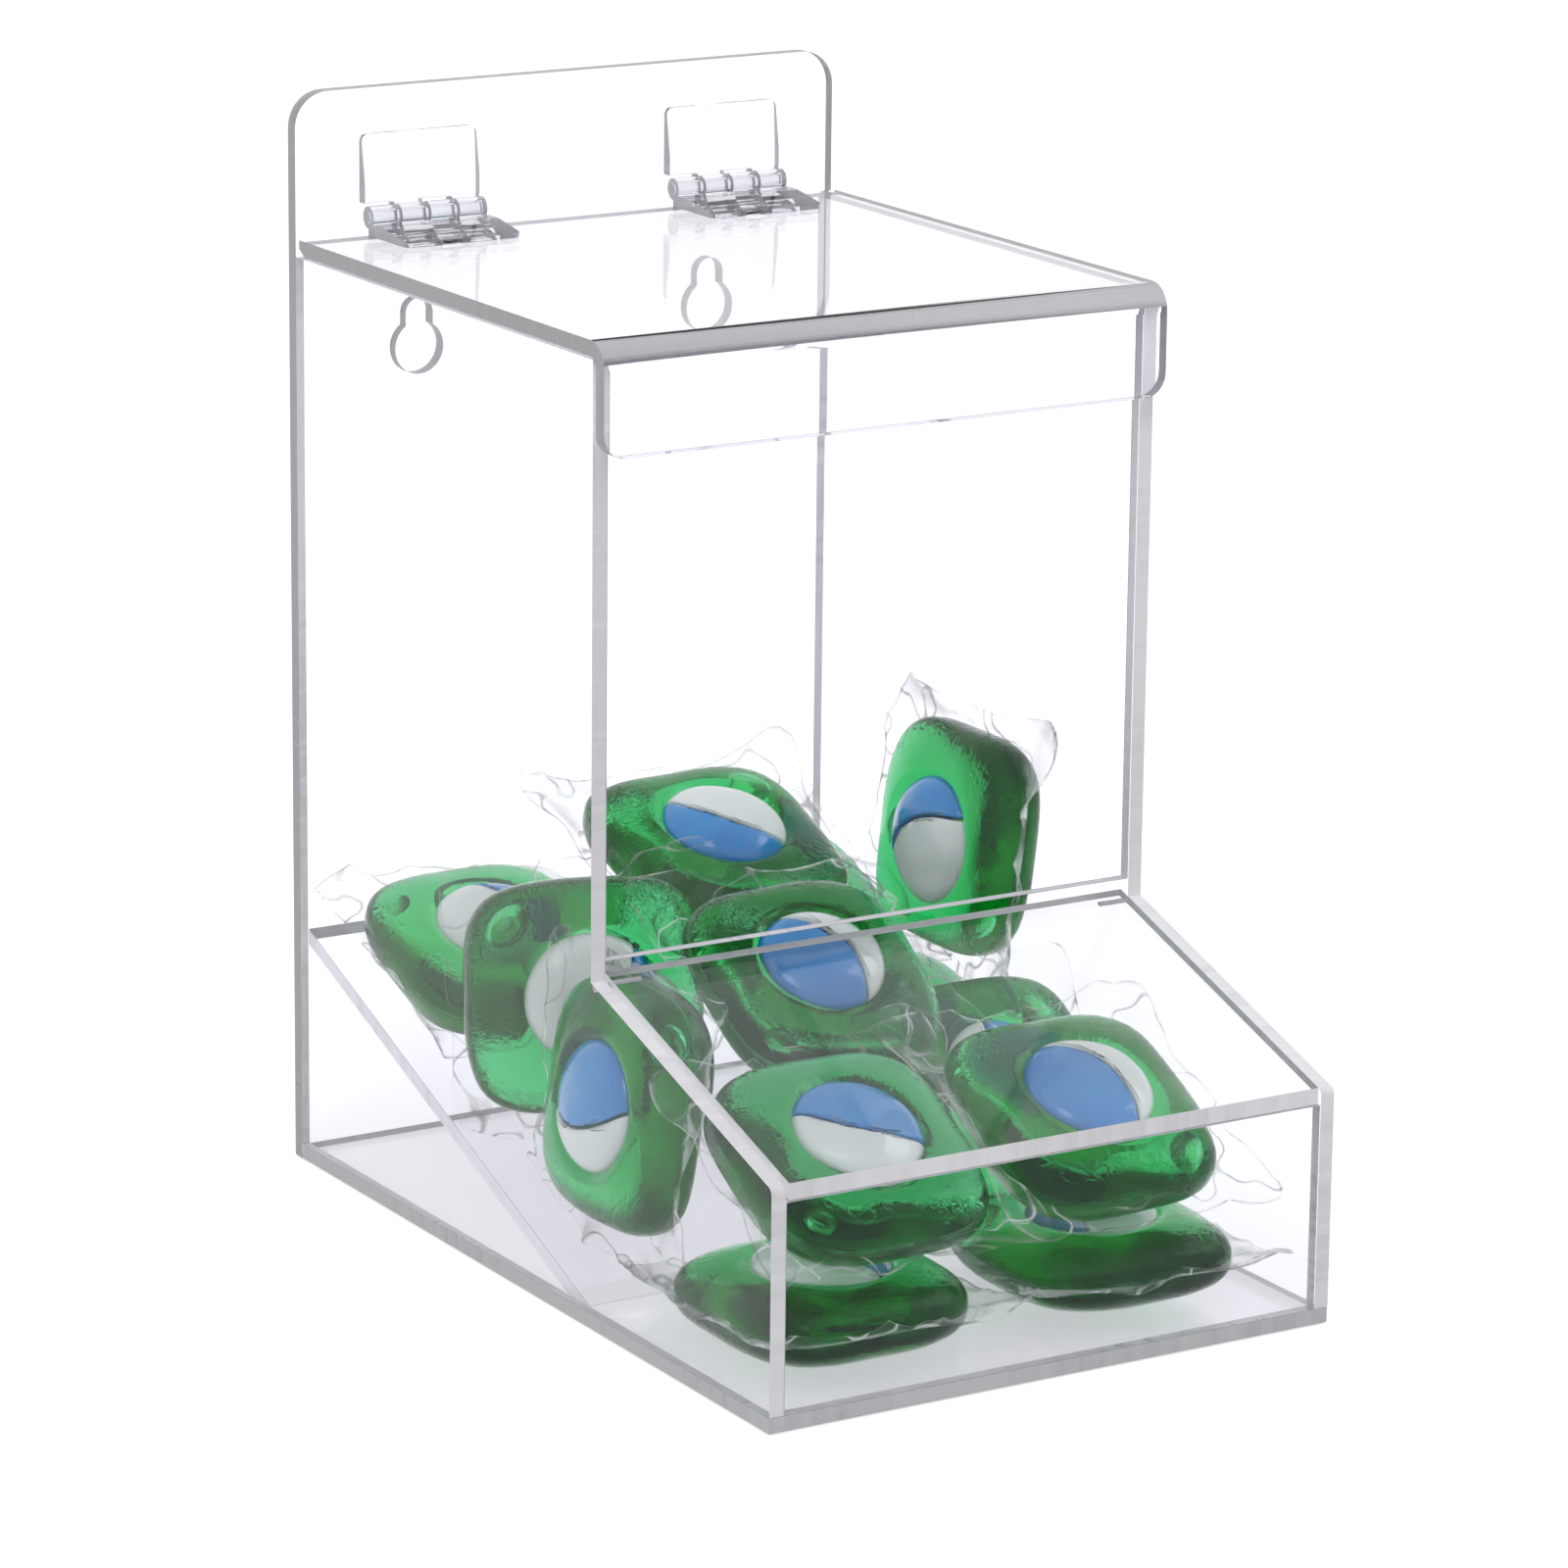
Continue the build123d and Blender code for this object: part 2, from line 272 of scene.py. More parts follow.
class PodSettings(bpy.types.PropertyGroup):
    """Sizes and colours of the gel pods"""

    width: length_setting("Width", "Side of the gel cushion", 46 * MM)
    thickness: length_setting("Thickness", "Thickness of the gel cushion", 17 * MM)
    eye_width: length_setting("Eye width", "Diameter of the two raised cells", 25 * MM)
    eye_sink: length_setting("Eye sink", "Depth of the hollow that holds the eye", 3.0 * MM)
    eye_bow: length_setting("Eye bow", "How far the line between the cells bows", 4 * MM)
    eye_divide: length_setting("Eye divide", "Width of the seal between the cells", 0.6 * MM)
    film_reach: length_setting("Film reach", "How far the film rim stands out", 4.6 * MM)
    film_corner: length_setting("Film corner", "How much further the film's corners reach", 5.0 * MM)
    film_fold: length_setting("Film fold", "Height of the folds in the film rim", 2.6 * MM)
    bubble_width: length_setting("Bubble width", "Length of the air bubble in the gel", 9 * MM)
    wall_room: length_setting("Wall room", "Room the film keeps from the box", 0.5 * MM)
    film_thickness: length_setting("Film thickness", "Thickness of the clear film", 0.16 * MM)
    gel_colour: colour_setting("Gel colour", "Tint of the green gel's surface", (0.50, 0.90, 0.60))
    blue_colour: colour_setting("Blue cell", "Colour of the blue cell", (0.001, 0.18, 0.52))
    white_colour: colour_setting("White cell", "Colour of the milky cell", (0.62, 0.70, 0.66))
    # the pale tints show in cloudy patches and as painted sheen where the cells turn from view
    blue_cloud_and_sheen: colour_setting("Blue cell pale", "Palest tint of the blue cell", (0.02, 0.31, 0.66))
    white_cloud_and_sheen: colour_setting("White cell pale", "Palest tint of the milky cell", (0.80, 0.86, 0.83))
    # the film's colour also gives its painted highlights, and the veil scales them
    film_and_highlight_colour: colour_setting("Film colour", "Colour of the clear film", (0.90, 0.96, 0.93))
    film_veil: factor_setting("Film veil", "How much the film rim hides", 1.0)


class StageSettings(bpy.types.PropertyGroup):
    """Camera, floor and lamps"""

    azimuth: angle_setting("Azimuth", "Turn of the camera round the box", math.radians(-30.55))
    elevation: angle_setting("Elevation", "Height of the camera above the horizon", math.radians(14.186))
    roll: angle_setting("Roll", "Turn of the camera about its own line of sight", math.radians(0.41))
    distance: length_setting("Distance", "Distance of the camera from its aim", 1278.7 * MM)
    aim_back: length_setting("Aim back", "How far behind the middle the camera aims", 42.5 * MM)
    aim_height: length_setting("Aim height", "Height the camera aims at", 96 * MM)
    floor_colour: colour_setting("Floor colour", "Colour of the floor", (0.70, 0.70, 0.71))


def settings():
    return bpy.context.scene.dispenser_sheet, bpy.context.scene.dispenser_pod


def paint(node_name, material, glue_gap=0.0, edge_break=0.0):
    """Gives a CAD node one material, a hair of room at glued faces and broken edges."""
    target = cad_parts[node_name]
    target.data.materials.clear()
    target.data.materials.append(material)
    if glue_gap:
        weld = target.modifiers.new("weld", "WELD")
        weld.merge_threshold = 0.01 * MM
        shrink = target.modifiers.new("glue_gap", "DISPLACE")
        shrink.mid_level = 0.0
        shrink.strength = -glue_gap
    if edge_break:
        bevel = target.modifiers.new("edge_break", "BEVEL")
        bevel.width = edge_break
        bevel.segments = 2
        bevel.limit_method = "ANGLE"
        bevel.angle_limit = math.radians(35)
        bevel.harden_normals = True


def smooth_step(low, high, value):
    share = min(1.0, max(0.0, (value - low) / (high - low)))
    return share * share * (3 - 2 * share)


def facing_of(finish, directions):
    """How squarely a face looks in any of the directions, from 0 to 1."""
    normal = finish.node("ShaderNodeTexCoord", output="Normal")
    most = 0.0
    for direction in directions:
        inputs = {0: normal, 1: direction}
        along = finish.node("ShaderNodeVectorMath", {"operation": "DOT_PRODUCT"}, inputs, output="Value")
        most = finish.node("ShaderNodeMath", {"operation": "MAXIMUM"}, {0: abs(along), 1: most})
    return most


def clear_and_edge(finish, opaque, clear_inputs, edge_inputs):
    """Clear sheet wherever the mask is 0 and a pale sawn edge wherever it is 1."""
    clear = finish.node("ShaderNodeBsdfPrincipled", inputs={"Transmission Weight": 1.0, **clear_inputs})
    edge = finish.node("ShaderNodeBsdfPrincipled", inputs={"IOR": 1.49, **edge_inputs})
    both = finish.node("ShaderNodeMixShader", inputs={0: opaque, 1: clear, 2: edge})
    finish.node_output({"Surface": both})
    return finish.material


def clear_sheet_finish(name, face_directions, sheet, index):
    """Polished clear faces, with pale sawn edges and fine grey lines of painted shade along the corners and the
    lid's bend.
    """
    finish = Finish(f"clear_sheet_{name}")
    glued = facing_of(finish, GLUED_FACES.get(name, []))
    square = facing_of(finish, face_directions + GLUED_FACES.get(name, []))
    opaque = finish.ramp(square, (0.935, 1.0), (0.945, 0.0))
    # painted shade: grey lines on the bevelled corners and the lid's bend, between broad and sawn faces
    shade_line = finish.ramp(square, (0.36, 0.0), (0.50, 1.0), (0.88, 1.0), (0.92, 0.0))
    across = [1.0 - abs(part) for part in face_directions[0]]
    marks = finish.speckle(finish.place(tuple(across)), 300.0, 1.0, 0.6)
    bands = finish.speckle(finish.place(), 24.0, 0.0)
    saw = finish.ramp(marks * bands, (0.17, 1.0), (0.36, 0.0))
    smudge = finish.speckle(finish.place(), 42.0, 0.0)
    # painted shade: this panel's sawn edge colours are darkened by its factor
    shade = PAINTED_EDGE_SHADE.get(name, 1.0)
    sawn = finish.mix(
        saw, [part * shade for part in sheet.edge_colour], [part * shade for part in sheet.edge_light]
    )
    clear_inputs = {
        "Base Color": finish.mix(smudge, [part * 0.995 for part in sheet.face_colour], sheet.face_colour),
        "Roughness": 0.0,
        "IOR": index,
        "Alpha": 1.0 - finish.ramp(glued, (0.97, 0.0), (0.99, 1.0)) if name in GLUED_FACES else 1.0,
    }
    edge_inputs = {
        "Base Color": finish.mix(shade_line, sawn, sheet.shade_line_colour),
        "Roughness": saw * 0.2 + sheet.edge_roughness,
        "Normal": finish.bump(marks, 0.05 * MM, 0.4),
    }
    return clear_and_edge(finish, opaque, clear_inputs, edge_inputs)


def moulded_clear_finish(name, colour, shade_line_colour):
    """Moulded clear plastic with faint flow marks and end faces painted grey as shade."""
    finish = Finish(name)
    end = facing_of(finish, [(1, 0, 0)])
    opaque = finish.ramp(end, (0.55, 0.0), (0.90, 0.85))
    flow = finish.speckle(finish.place((1.0, 1.0, 3.0)), 160.0, 2.0)
    clear_inputs = {
        "IOR": 1.4,
        "Base Color": finish.mix(flow, [part * 0.94 for part in colour], colour),
        "Roughness": flow * 0.04 + 0.02,
        "Normal": finish.bump(flow, 0.12 * MM, 0.35),
    }
    edge_inputs = {
        # painted shade: the end faces are grey, paler in the flow marks
        "Base Color": finish.mix(flow, shade_line_colour, [part * 1.3 for part in shade_line_colour]),
        "Roughness": flow * 0.1 + 0.2,
    }
    return clear_and_edge(finish, opaque, clear_inputs, edge_inputs)


def drawn_metal_finish(name, colour):
    """Drawn wire with fine lines along it."""
    finish = Finish(name)
    lines = finish.speckle(finish.place((0.02, 1.0, 1.0)), 9000.0, 2.0)
    tint = finish.mix(lines, [part * 0.75 for part in colour], colour)
    return finish.surface({"Base Color": tint, "Metallic": 1.0, "Roughness": lines * 0.15 + 0.22})


def gel_finish(colour):
    """Clear green gel in pulled film: its depth gives the deep colour."""
    finish = Finish("pod_gel")
    swirl = finish.speckle(finish.place(), 30.0, 2.0)
    ray = finish.node("ShaderNodeAttribute", {"attribute_name": "ray"}, output="Vector")
    reach = finish.node("ShaderNodeSeparateXYZ", inputs={"Vector": ray}, output="Z")
    pulled = finish.speckle(ray, 7.5, 3.0, 0.6)
    crease = finish.ramp(abs(pulled - 0.5) * 8.0, (0.0, 1.0), (0.55, 0.0))
    rim = finish.ramp(reach, (0.62, 0.0), (0.95, 1.0))
    tint = finish.mix(swirl, [part * 0.80 for part in colour], colour)
    absorption = finish.node(
        "ShaderNodeVolumeAbsorption", inputs={"Color": GEL_DEPTH_COLOUR, "Density": GEL_DENSITY}
    )
    return finish.surface(
        {
            "Base Color": tint,
            "Roughness": crease * rim * 0.03,
            "IOR": 1.38,
            "Specular Tint": (0.25, 0.60, 0.40, 1.0),
            "Transmission Weight": 1.0,
            "Normal": finish.bump(crease * rim, 0.25 * MM, 0.25),
        },
        absorption,
    )


def cell_finish(name, colour, cloud_and_sheen_tint):
    """Dyed liquid under film: it pales in cloudy patches and, as painted sheen, where it turns from view, and
    shines.
    """
    finish = Finish(name)
    cloud = finish.speckle(finish.place(), 90.0, 3.0)
    # painted sheen: the facing weight pales the cell where it turns from view
    rim = finish.node("ShaderNodeLayerWeight", inputs={"Blend": 0.35}, output="Facing")
    shade = finish.ramp(cloud * 0.6 + rim * 0.6, (0.25, 0.0), (0.85, 1.0))
    return finish.surface(
        {
            "Base Color": finish.mix(shade, colour, cloud_and_sheen_tint),
            "Roughness": cloud * 0.12 + 0.12,
            "IOR": 1.4,
            "Subsurface Weight": 0.12,
            "Subsurface Radius": (0.6, 0.8, 1.0),
            "Subsurface Scale": 2 * MM,
            "Coat Weight": 0.7,
            "Coat Roughness": 0.05,
        }
    )


def film_finish(name, colour, veil):
    """Thin clear film: nearly unseen when flat, with painted white highlights along folds and creases and where
    it turns from view.
    """
    finish = Finish(name)
    crinkle = finish.speckle(finish.place(), 75.0, 1.0, 0.4)
    crease = finish.ramp(abs(crinkle - 0.5) * 10.0, (0.0, 1.0), (0.13, 0.0))
    tone = finish.ramp(finish.speckle(finish.place(), 110.0, 1.0), (0.47, 0.0), (0.53, 1.0))
    haze = finish.speckle(finish.place(), 40.0, 2.0)
    facing = finish.node("ShaderNodeLayerWeight", inputs={"Blend": 0.3}, output="Facing")
    edge = finish.ramp(facing, (0.30, 0.0), (0.90, 1.0))
    return finish.surface(
        {
            "Base Color": finish.mix(tone, [part * 0.35 for part in colour], colour),
            "Roughness": haze * 0.12 + 0.02,
            "IOR": 1.5,
            # painted highlights: alpha shows the pale film where it turns from view and along creases
            "Alpha": (edge * 0.78 + crease * 0.45 + haze * 0.04) * veil,
            "Normal": finish.bump(crinkle, 2.0 * MM, 0.7),
        }
    )


def new_piece(name, mesh, material, body="case"):
    """Makes an object of a bmesh at the origin, paints it and hangs it on a body."""
    data = bpy.data.meshes.new(name)
    mesh.to_mesh(data)
    mesh.free()
    data.polygons.foreach_set("use_smooth", [True] * len(data.polygons))
    data.materials.append(material)
    piece = bpy.data.objects.new(name, data)
    bpy.context.scene.collection.objects.link(piece)
    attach(piece, body)
    return piece


def pod_frame(name, extra_turn=0.0):
    """Place and turn of a pod, read from its node's box and its angles."""
    turn, tilt, _, _ = POD_ANGLES[name]
    low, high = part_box(name)
    middle = (low + high) / 2
    turned = Euler((math.radians(tilt), 0, math.radians(turn)), "XYZ").to_matrix().to_4x4()
    return Matrix.Translation(middle) @ turned @ Matrix.Rotation(extra_turn, 4, "Z")


def ripple(point, seed, scale):
    """A smooth number from about -1 to 1 that differs from pod to pod."""
    return noise.noise(point * scale + Vector((seed * 7.3, seed * 3.1, seed * 5.7)))


def gel_mesh(pod, seed):
    """A fat square cushion with a hollow in its upper face for the eye."""
    mesh = bmesh.new()
    bmesh.ops.create_cube(mesh, size=2.0)
    bmesh.ops.subdivide_edges(mesh, edges=mesh.edges[:], cuts=25, use_grid_fill=True)
    half_width = pod.width / 2
    half_thickness = pod.thickness / 2
    eye_radius = pod.eye_width / 2
    ray = mesh.verts.layers.float_vector.new("ray")
    for vertex in mesh.verts:
        x, y, z = vertex.co
        flat = (abs(x) ** 3.6 + abs(y) ** 3.6) ** (1 / 3.6)
        round_size = (flat**2.6 + abs(z) ** 2.6) ** (1 / 2.6)
        place = Vector((x * half_width, y * half_width, z * half_thickness)) / round_size
        reach = place.xy.length
        if place.z > 0:
            hollow = 1 - smooth_step(0.86 * eye_radius, 1.14 * eye_radius, reach)
            place.z -= pod.eye_sink * hollow
        vertex[ray] = Vector((place.x / max(reach, MM), place.y / max(reach, MM), reach / half_width))
        soft = 0.5 + 0.5 * ripple(place, seed, 70)
        place.x *= 1 - 0.045 * soft
        place.y *= 1 - 0.045 * (0.5 + 0.5 * ripple(place.yxz, seed + 1, 70))
        place.z *= 1 - 0.10 * (0.5 + 0.5 * ripple(place, seed + 2, 95))
        vertex.co = place
    bmesh.ops.recalc_face_normals(mesh, faces=mesh.faces[:])
    add_bubble(mesh, pod, seed, ray)
    return mesh


def add_bubble(mesh, pod, seed, ray):
    """An air bubble inside the gel: a flat hollow whose wall faces inwards."""
    side = 0.5 * math.pi * (seed % 4) + 0.25 * math.pi
    reach = 0.84 * pod.width / 2
    middle = Matrix.Translation((reach * math.cos(side), reach * math.sin(side), 0.9 * MM))
    flat = Matrix.Diagonal((1.0, 0.72, 0.62, 1.0))
    turned = Matrix.Rotation(side + 0.5 * math.pi, 4, "Z")
    size = pod.bubble_width / 2 * (0.8 + 0.2 * math.sin(seed * 2.3))
    made = bmesh.ops.create_icosphere(mesh, subdivisions=3, radius=size, matrix=middle @ turned @ flat)
    for vertex in made["verts"]:
        vertex[ray] = Vector((math.cos(side), math.sin(side), 0.3))
    wall = {face for vertex in made["verts"] for face in vertex.link_faces}
    bmesh.ops.reverse_faces(mesh, faces=list(wall))


def cell_mesh(pod, side, seed):
    """One cell of the eye: a flat dome cut in two by a bowed seal."""
    mesh = bmesh.new()
    radius = pod.eye_width / 2
    bmesh.ops.create_uvsphere(mesh, u_segments=64, v_segments=24, radius=radius)
    bmesh.ops.bisect_plane(
        mesh,
        geom=mesh.verts[:] + mesh.edges[:] + mesh.faces[:],
        plane_co=(side * pod.eye_divide / 2, 0, 0),
        plane_no=(-side, 0, 0),
        clear_outer=True,
    )
    cut_edges = [edge for edge in mesh.edges if edge.is_boundary]
    bmesh.ops.holes_fill(mesh, edges=cut_edges)
    for vertex in mesh.verts:
        x, y, z = vertex.co
        rim = math.sqrt(max(radius**2 - y**2, 1e-9))
        bow = pod.eye_bow * (1 - (y / radius) ** 2)
        vertex.co.x = x - bow * (1 - min(1, abs(x) / rim))
        vertex.co.z = z * 0.40 * (1 + 0.12 * ripple(vertex.co, seed, 110))
    bmesh.ops.bevel(
        mesh,
        geom=[edge for edge in mesh.edges if edge.calc_face_angle(0) > math.radians(50)],
        offset=0.5 * MM,
        affect="EDGES",
        segments=3,
        profile=0.5,
        material=-1,
    )
    bmesh.ops.recalc_face_normals(mesh, faces=mesh.faces[:])
    return mesh


def ridge(point, seed, scale):
    """A sharp crested number from -1 to 1, for folds in film."""
    return 1 - 2 * abs(ripple(point, seed, scale)) ** 0.7


def film_mesh(pod, seed):
    """The clear rim: a crinkled square ring whose corners stand out and fold."""
    mesh = bmesh.new()
    ring = bmesh.ops.create_circle(mesh, segments=200, radius=1.0)["verts"]
    half_width = pod.width / 2
    outer = pod.film_reach / half_width
    steps = [0.88, 0.95, 1.0, *(1 + outer * share / 5 for share in range(1, 6))]
    edges = mesh.edges[:]
    rings = [ring]
    for _ in steps[1:]:
        made = bmesh.ops.extrude_edge_only(mesh, edges=edges)["geom"]
        rings.append([part for part in made if isinstance(part, bmesh.types.BMVert)])
        edges = [part for part in made if isinstance(part, bmesh.types.BMEdge) and part.is_boundary]
    for step, verts in zip(steps, rings):
        out = smooth_step(0.95, steps[-1], step)
        squareness = 3.6 + 4.0 * out
        for vertex in verts:
            angle = math.atan2(vertex.co.y, vertex.co.x)
            across, along = math.cos(angle), math.sin(angle)
            flat = (abs(across) ** squareness + abs(along) ** squareness) ** (1 / squareness)
            spot = Vector((across, along, 0)) * (step * half_width / flat)
            corner = abs(math.sin(2 * angle)) ** 6
            tuck = ripple(Vector((across, along, 0)) * 0.03, seed + 5, 60)
            spot.xy *= 1 + out * corner * pod.film_corner / half_width * (0.5 + tuck)
            fold = ridge(spot, seed, 52) + 0.30 * ridge(spot, seed + 3, 110)
            spot.z = out * pod.film_fold * (0.9 * fold + 1.4 * tuck)
            spot.xy *= 1 - 0.05 * out * (0.5 + 0.5 * ridge(spot, seed + 9, 70))
            vertex.co = spot
    bmesh.ops.recalc_face_normals(mesh, faces=mesh.faces[:])
    return mesh


def press_to_box(mesh, room):
    """Presses film that would pass through the box flat against it."""
    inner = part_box("scoop_front_panel")
    flap_low, flap_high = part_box("scoop_flap")
    ramp_low, ramp_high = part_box("ramp_panel")
    base_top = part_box("base_panel")[1].z
    slope = math.tan(SLOPE_TILT)
    under_front = flap_low.z - room
    pin_low, pin_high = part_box("flap_pin_left")
    pivot = (pin_low + pin_high) / 2
    swing = (flap_high - pivot).yz.length + 2 * room
    for vertex in mesh.verts:
        spot = vertex.co
        spot.x = min(inner[1].x - room, max(inner[0].x + room, spot.x))
        spot.y = min(ramp_high.y - room, max(inner[1].y + room, spot.y))
        climb = (spot.y - ramp_low.y) / (ramp_high.y - ramp_low.y)
        floor = base_top + max(0, climb) * (ramp_high.z - base_top)
        spot.z = max(floor + room, spot.z)
        if spot.y < flap_high.y:
            spot.z = min(spot.z, under_front + (spot.y - flap_low.y) * slope)
        away = (spot - pivot).yz
        if away.length < swing:
            away = Vector((away.x, min(away.y, -swing / 2))).normalized() * swing
            spot.yz = pivot.yz + away


class DISPENSER_OT_sheet(bpy.types.Operator):
    """Paints the panels of clear sheet, each with its own sawn edges"""

    bl_idname = "dispenser.sheet"
    bl_label = "Clear sheet panels"

    def execute(self, context):
        sheet, _ = settings()
        for name, directions in PANEL_FACES.items():
            index = sheet.flap_index if name == "scoop_flap" else sheet.wall_index
            finish = clear_sheet_finish(name, directions, sheet, index)
            paint(name, finish, sheet.glue_gap, sheet.edge_break)
        return {"FINISHED"}


class DISPENSER_OT_hinges(bpy.types.Operator):
    """Paints the moulded hinge leaves and their pins"""

    bl_idname = "dispenser.hinges"
    bl_label = "Lid hinges"

    def execute(self, context):
        sheet, _ = settings()
        leaf = moulded_clear_finish("hinge_plastic", sheet.hinge_colour, sheet.shade_line_colour)
        pin = moulded_clear_finish("hinge_pin_plastic", sheet.hinge_colour, sheet.shade_line_colour)
        for name in HINGE_LEAVES:
            paint(name, leaf, sheet.glue_gap)
        for name in HINGE_PINS:
            paint(name, pin)
        return {"FINISHED"}


class DISPENSER_OT_pivots(bpy.types.Operator):
    """Paints the metal pins that the scoop flap turns on"""

    bl_idname = "dispenser.pivots"
    bl_label = "Flap pivot pins"

    def execute(self, context):
        sheet, _ = settings()
        metal = drawn_metal_finish("pivot_pin_metal", sheet.pin_colour)
        for name in PIVOT_PINS:
            paint(name, metal)
        return {"FINISHED"}


class DISPENSER_OT_pods(bpy.types.Operator):
    """Builds every gel pod: cushion, two coloured cells and film rim"""

    bl_idname = "dispenser.pods"
    bl_label = "Gel pods"

    def execute(self, context):
        _, pod = settings()
        gel = gel_finish(pod.gel_colour)
        blue = cell_finish("blue_cell", pod.blue_colour, pod.blue_cloud_and_sheen)
        white = cell_finish("white_cell", pod.white_colour, pod.white_cloud_and_sheen)
        film = film_finish("pod_film", pod.film_and_highlight_colour, pod.film_veil)
        eye_lift = Matrix.Translation((0, 0, pod.thickness / 2 - pod.eye_sink))
        for seed, (name, (_, _, eye_turn, blue_crescent)) in enumerate(POD_ANGLES.items()):
            place = pod_frame(name)
            eye_place = pod_frame(name, math.radians(eye_turn)) @ eye_lift
            cushion = gel_mesh(pod, seed)
            bmesh.ops.transform(cushion, matrix=place, verts=cushion.verts[:])
            body = new_piece(f"{name}_gel", cushion, gel)
            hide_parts(name)
            for side, part in ((1, "lens"), (-1, "crescent")):
                cell = cell_mesh(pod, side, seed + 2 * side)
                bmesh.ops.transform(cell, matrix=eye_place, verts=cell.verts[:])
                is_blue = blue_crescent == (part == "crescent")
                new_piece(f"{name}_{part}", cell, blue if is_blue else white)
            rim = film_mesh(pod, seed)
            bmesh.ops.transform(rim, matrix=place, verts=rim.verts[:])
            press_to_box(rim, pod.wall_room)
            bmesh.ops.solidify(rim, geom=rim.faces[:], thickness=pod.film_thickness)
            new_piece(f"{name}_film", rim, film)
        return {"FINISHED"}


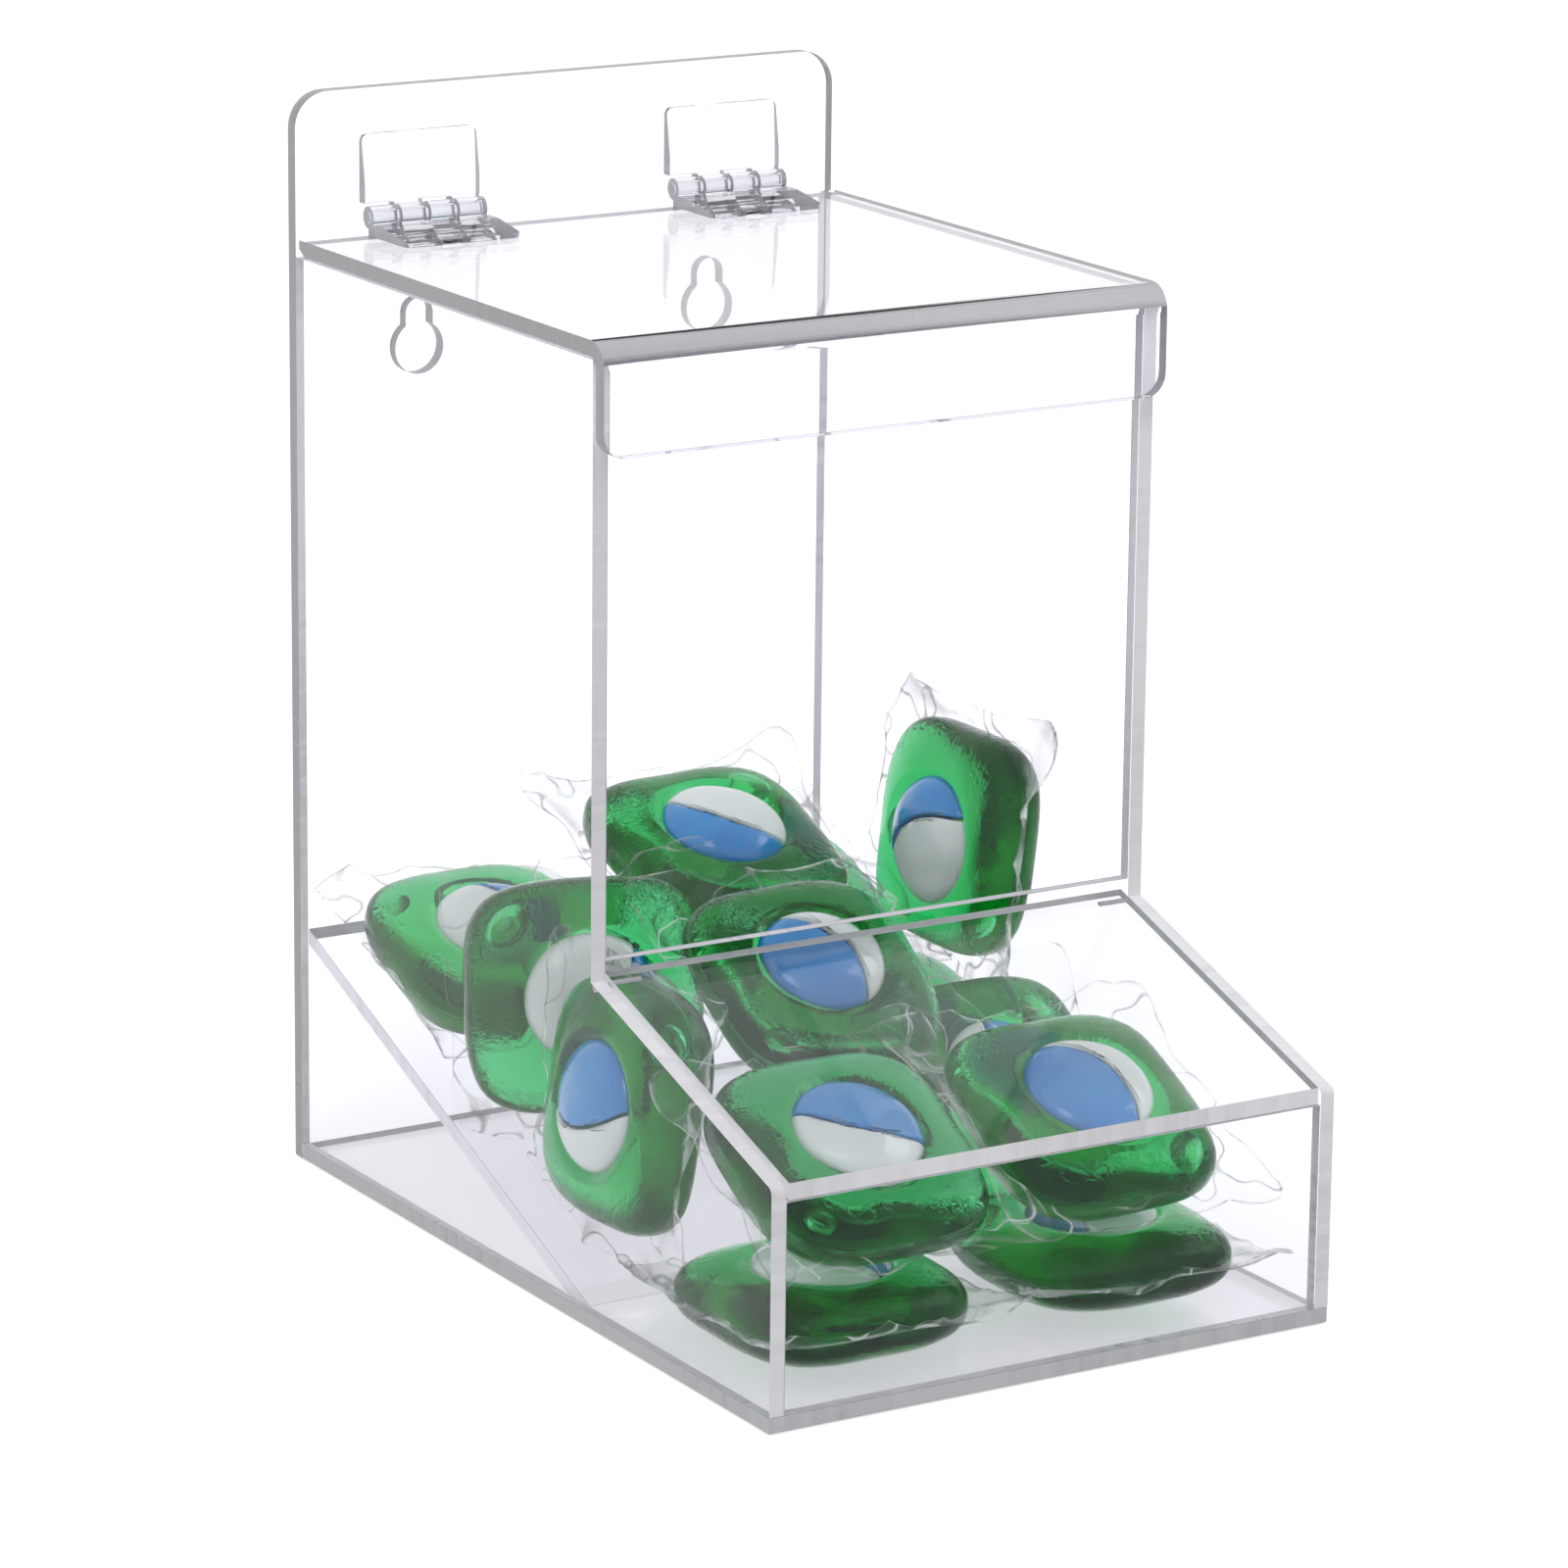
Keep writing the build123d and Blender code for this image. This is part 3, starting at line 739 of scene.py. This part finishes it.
class DISPENSER_OT_stage(bpy.types.Operator):
    """Sets the pale floor, the soft lamps, the sky and the camera"""

    bl_idname = "dispenser.stage"
    bl_label = "Stage"

    def execute(self, context):
        stage = context.scene.dispenser_stage
        self.make_floor(context, stage)
        self.make_sky(context)
        self.make_lamp(context, "key_lamp", (-1.1, -1.3, 1.9), 0.8, 17.0)
        self.make_lamp(context, "fill_lamp", (1.6, -0.6, 1.3), 1.0, 7.0)
        self.make_camera(context, stage)
        context.scene.view_settings.view_transform = "Standard"
        context.scene.cycles.max_bounces = 12
        context.scene.cycles.transmission_bounces = 12
        context.scene.cycles.glossy_bounces = 4
        context.scene.cycles.diffuse_bounces = 2
        context.scene.cycles.transparent_max_bounces = 20
        context.scene.cycles.sample_clamp_indirect = 2.0
        return {"FINISHED"}

    def make_floor(self, context, stage):
        mesh = bmesh.new()
        bmesh.ops.create_grid(mesh, x_segments=1, y_segments=1, size=6.0)
        bmesh.ops.translate(mesh, vec=(0, 0, -0.3 * MM), verts=mesh.verts[:])
        data = bpy.data.meshes.new("floor")
        mesh.to_mesh(data)
        mesh.free()
        floor = bpy.data.objects.new("floor", data)
        context.scene.collection.objects.link(floor)
        finish = Finish("pale_floor")
        grain = finish.speckle(finish.place(), 60.0, 3.0)
        colour = finish.mix(grain, [part * 0.985 for part in stage.floor_colour], stage.floor_colour)
        glow = finish.mix(finish.background_rays(), (0.0, 0.0, 0.0), (1.0, 1.0, 1.0))
        data.materials.append(
            finish.surface(
                {
                    "Base Color": colour,
                    "Roughness": 0.6,
                    "Specular IOR Level": 0.2,
                    "Emission Color": glow,
                    "Emission Strength": FLOOR_GLOW,
                }
            )
        )

    def make_sky(self, context):
        """White to the rays that show the background; as a light, dimmer on the camera's side."""
        world = bpy.data.worlds.new("white_room")
        context.scene.world = world
        world.use_nodes = True
        world.cycles.sampling_method = "NONE"
        room = Finish("white_room", world.node_tree)
        direction = room.node("ShaderNodeTexCoord", output="Generated")
        inputs = {0: direction, 1: CAMERA_SIDE}
        toward = room.node("ShaderNodeVectorMath", {"operation": "DOT_PRODUCT"}, inputs, output="Value")
        room_level = room.ramp(toward, (0.0, 1.0), (0.45, 0.25))
        lit = room_level * ROOM_LIGHT
        strength = room.node("ShaderNodeMath", {"operation": "MAXIMUM"}, {0: room.background_rays(), 1: lit})
        background = room.node(
            "ShaderNodeBackground", inputs={"Color": (1.0, 1.0, 1.0, 1.0), "Strength": strength}
        )
        output = room.tree.nodes.new("ShaderNodeOutputWorld")
        room.tree.links.new(background.socket, output.inputs["Surface"])

    def make_lamp(self, context, name, place, size, power):
        data = bpy.data.lights.new(name, "AREA")
        data.shape = "SQUARE"
        data.size = size
        data.energy = power
        lamp = bpy.data.objects.new(name, data)
        lamp.location = place
        lamp.rotation_euler = (Vector((0, 0, 0.1)) - Vector(place)).to_track_quat("-Z", "Y").to_euler()
        context.scene.collection.objects.link(lamp)

    def make_camera(self, context, stage):
        data = bpy.data.cameras.new("camera")
        data.lens = LENS
        data.sensor_width = 36.0
        data.shift_x = SHIFT_X
        data.shift_y = SHIFT_Y
        data.clip_start = 0.05
        camera = bpy.data.objects.new("camera", data)
        level = math.cos(stage.elevation)
        back = Vector(
            (
                math.sin(stage.azimuth) * level,
                -math.cos(stage.azimuth) * level,
                math.sin(stage.elevation),
            )
        )
        camera.location = Vector((0, stage.aim_back, stage.aim_height)) + back * stage.distance
        aim = (-back).to_track_quat("-Z", "Y").to_matrix() @ Matrix.Rotation(stage.roll, 3, "Z")
        camera.rotation_euler = aim.to_euler()
        context.scene.collection.objects.link(camera)
        context.scene.camera = camera


OPERATORS = (
    DISPENSER_OT_sheet,
    DISPENSER_OT_hinges,
    DISPENSER_OT_pivots,
    DISPENSER_OT_pods,
    DISPENSER_OT_stage,
)


class DISPENSER_PT_panel(bpy.types.Panel):
    """Lists the steps that build the dispenser and its stage"""

    bl_label = "Dispenser"
    bl_idname = "DISPENSER_PT_panel"
    bl_space_type = "VIEW_3D"
    bl_region_type = "UI"
    bl_category = "Dispenser"

    def draw(self, context):
        for step in OPERATORS:
            self.layout.operator(step.bl_idname)


CLASSES = (SheetSettings, PodSettings, StageSettings, *OPERATORS, DISPENSER_PT_panel)


def register():
    for kind in CLASSES:
        bpy.utils.register_class(kind)
    bpy.types.Scene.dispenser_sheet = bpy.props.PointerProperty(type=SheetSettings)
    bpy.types.Scene.dispenser_pod = bpy.props.PointerProperty(type=PodSettings)
    bpy.types.Scene.dispenser_stage = bpy.props.PointerProperty(type=StageSettings)


def unregister():
    del bpy.types.Scene.dispenser_stage
    del bpy.types.Scene.dispenser_pod
    del bpy.types.Scene.dispenser_sheet
    for kind in reversed(CLASSES):
        bpy.utils.unregister_class(kind)


def main():
    register()
    bpy.ops.dispenser.sheet()
    bpy.ops.dispenser.hinges()
    bpy.ops.dispenser.pivots()
    bpy.ops.dispenser.pods()
    bpy.ops.dispenser.stage()


if __name__ == "__main__":
    main()
